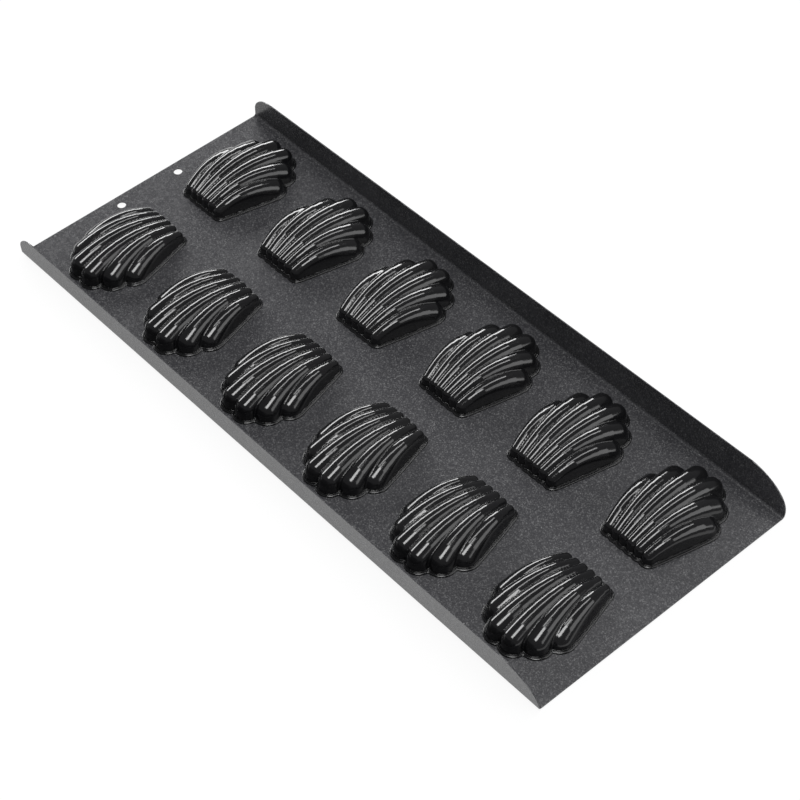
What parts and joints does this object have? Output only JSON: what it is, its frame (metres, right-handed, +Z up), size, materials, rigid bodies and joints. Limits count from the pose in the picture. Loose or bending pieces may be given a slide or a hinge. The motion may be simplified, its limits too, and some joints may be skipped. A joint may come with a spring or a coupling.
{
  "type": "madeleine pan",
  "caption": "Long folded steel tray with rows of shell-shaped baking cups, low leaning side flanges and hanging holes at one end, lying face down.",
  "frame": {"origin": "on the surface the pan lies on, under the middle of the tray", "axes": "+X along the pan away from the end with the hanging holes, +Y across it to the rear flange, +Z up through the backs of the cups; the pan lies on its baking face, so the cups open towards -Z"},
  "size_m": [0.395, 0.1632, 0.02],
  "materials": {
    "tray_coating": "satin dark grey non-stick coating with a fine grain",
    "cup_coating": "glossy near-black non-stick coating"
  },
  "bodies": {
    "root": {"tray": "tray_coating", "cup_front_1": "cup_coating", "cup_front_2": "cup_coating", "cup_front_3": "cup_coating", "cup_front_4": "cup_coating", "cup_front_5": "cup_coating", "cup_front_6": "cup_coating", "cup_rear_1": "cup_coating", "cup_rear_2": "cup_coating", "cup_rear_3": "cup_coating", "cup_rear_4": "cup_coating", "cup_rear_5": "cup_coating", "cup_rear_6": "cup_coating"}
  },
  "joints": []
}
